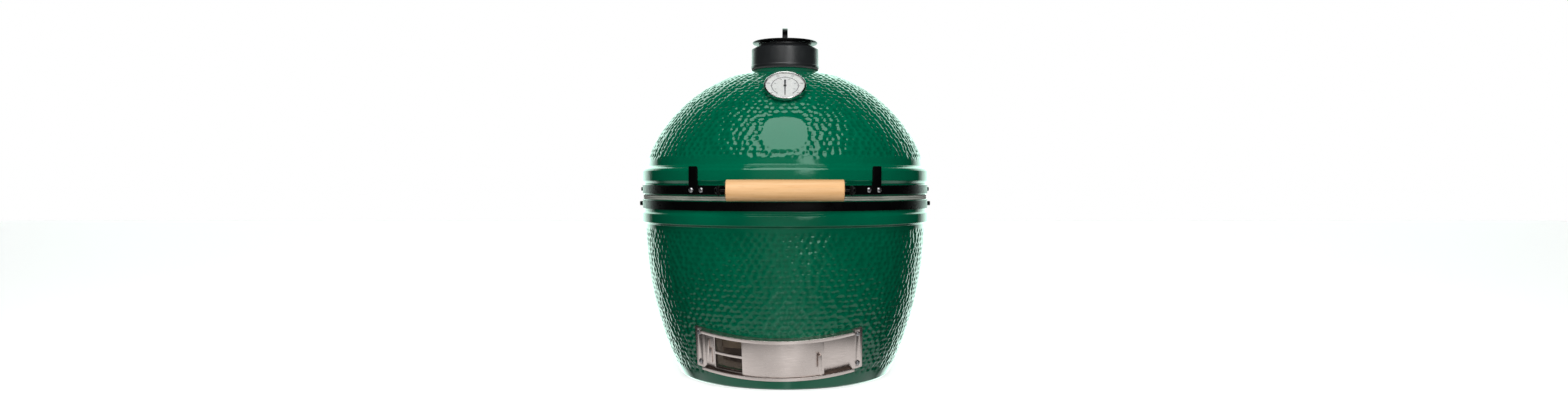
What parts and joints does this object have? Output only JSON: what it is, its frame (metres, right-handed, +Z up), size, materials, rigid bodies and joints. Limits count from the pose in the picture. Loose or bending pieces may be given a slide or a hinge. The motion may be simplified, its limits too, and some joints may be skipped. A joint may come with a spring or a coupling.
{
  "type": "kamado ceramic grill",
  "caption": "Egg-shaped glazed ceramic grill with a hinged dome, vented swing cap, dial thermometer, wooden handle and sliding draft door.",
  "frame": {"origin": "centre of the flat underside of the base", "axes": "+Z up, -Y towards the front with the handle and the draft door, +X to the right seen from the front"},
  "size_m": [0.714, 0.8332, 0.836],
  "materials": {
    "green_glaze": "glossy dimpled green glaze",
    "fire_clay": "matt fired clay",
    "cast_iron": "rough black casting",
    "stainless": "satin stainless sheet",
    "black_steel": "black powder coat, satin",
    "cap_black": "charcoal high-temperature coating, satin",
    "felt": "pressed felt",
    "black_felt": "pressed black felt",
    "zinc": "zinc-plated steel",
    "spring_steel": "dark oiled spring steel",
    "maple": "light maple, clear oil",
    "bezel": "polished steel",
    "dial_white": "matt white with printed scale",
    "dial_black": "matt black",
    "lens": "clear glass"
  },
  "bodies": {
    "base_body": {"base": "green_glaze", "fire_box": "fire_clay", "fire_ring": "fire_clay", "fire_grate": "cast_iron", "cooking_grid": "stainless", "base_gasket": "felt", "lower_band": "black_steel", "lower_hinge_bracket": "black_steel", "hinge_shaft": "zinc", "hinge_nut_left": "zinc", "hinge_nut_right": "zinc", "hinge_spring_left": "spring_steel", "hinge_spring_right": "spring_steel", "lower_hinge_bolt_left": "zinc", "lower_hinge_bolt_right": "zinc", "lower_band_bolt_left": "black_steel", "lower_band_bolt_right": "black_steel", "draft_frame": "stainless", "frame_screw_left_low": "zinc", "frame_screw_left_high": "zinc", "frame_screw_right_low": "zinc", "frame_screw_right_high": "zinc"},
    "lid": {"dome": "green_glaze", "dome_gasket": "felt", "upper_band": "black_steel", "upper_hinge_bracket": "black_steel", "upper_hinge_bolt_left": "zinc", "upper_hinge_bolt_right": "zinc", "upper_band_bolt_left": "black_steel", "upper_band_bolt_right": "black_steel", "handle_bracket_left": "black_steel", "handle_bracket_right": "black_steel", "bracket_bolt_left_inner": "zinc", "bracket_bolt_left_outer": "zinc", "bracket_bolt_right_inner": "zinc", "bracket_bolt_right_outer": "zinc", "handle_bolt_left": "black_steel", "handle_bolt_right": "black_steel", "handle_grip": "maple", "cap_collar": "cap_black", "cap_gasket": "black_felt", "cap_pivot_pin": "zinc", "thermometer_case": "bezel", "dial_face": "dial_white", "dial_lens": "lens", "thermometer_stem": "stainless", "thermometer_nut": "zinc"},
    "cap_lid": {"swing_lid": "cap_black", "damper_pin": "zinc"},
    "damper": {"damper_disc": "black_steel"},
    "pointer": {"needle": "dial_black"},
    "solid_panel": {"solid_door": "stainless"},
    "screen_panel": {"screen_door": "stainless", "screen_mesh": "stainless"}
  },
  "joints": [
    {"name": "lid_hinge", "type": "hinge", "parent": "base_body", "child": "lid", "pos_m": [0, 0.398, 0.43], "axis": [-1, 0, 0], "range_deg": [0, 65], "stiffness_Nm_per_rad": 71, "springref_deg": 79.98, "deforming": ["hinge_spring_left", "hinge_spring_right"]},
    {"name": "cap_swing", "type": "hinge", "parent": "lid", "child": "cap_lid", "pos_m": [0, 0.074, 0.793], "axis": [0, 0, 1], "range_deg": [0, 110]},
    {"name": "damper_turn", "type": "hinge", "parent": "cap_lid", "child": "damper", "pos_m": [0, 0, 0.799], "axis": [0, 0, 1], "range_deg": [0, 45]},
    {"name": "needle_turn", "type": "hinge", "parent": "lid", "child": "pointer", "pos_m": [0, -0.233, 0.679], "axis": [0, 0.7071, -0.7071], "range_deg": [0, 330], "stiffness_Nm_per_rad": 0.0005},
    {"name": "solid_door_slide", "type": "hinge", "parent": "base_body", "child": "solid_panel", "pos_m": [0.00095, 0.01598, 0.19167], "axis": [-0.0213, -0.3577, 0.9336], "range_deg": [-15.9, 12.2]},
    {"name": "screen_door_slide", "type": "hinge", "parent": "base_body", "child": "screen_panel", "pos_m": [0.00095, 0.01598, 0.19167], "axis": [-0.0213, -0.3577, 0.9336], "range_deg": [0, 27.5]}
  ]
}
